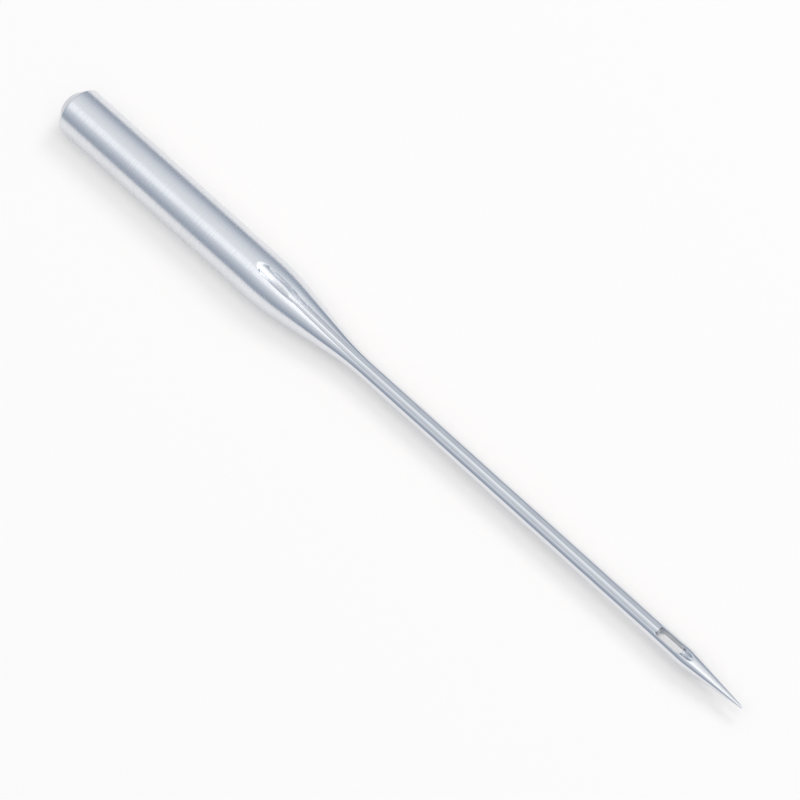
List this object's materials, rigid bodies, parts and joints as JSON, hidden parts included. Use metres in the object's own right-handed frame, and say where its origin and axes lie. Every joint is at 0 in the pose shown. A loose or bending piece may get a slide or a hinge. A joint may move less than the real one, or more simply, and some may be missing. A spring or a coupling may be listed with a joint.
{
  "type": "sewing machine needle",
  "caption": "Flat-shank household sewing machine needle of plated steel, with universal point, scarf, eye and long groove",
  "frame": {"origin": "centre of the butt's flat end face, on the shank's axis", "axes": "+X along the needle from the butt to the point; the shank's flat and the scarf face -Z, since the needle lies on its flat; the long groove faces +Z; +Y to its side"},
  "size_m": [0.0385, 0.002, 0.0016],
  "materials": {
    "plated_steel": "bright nickel or chrome plate over ground and polished steel"
  },
  "bodies": {
    "root": {"needle": "plated_steel"}
  },
  "joints": []
}
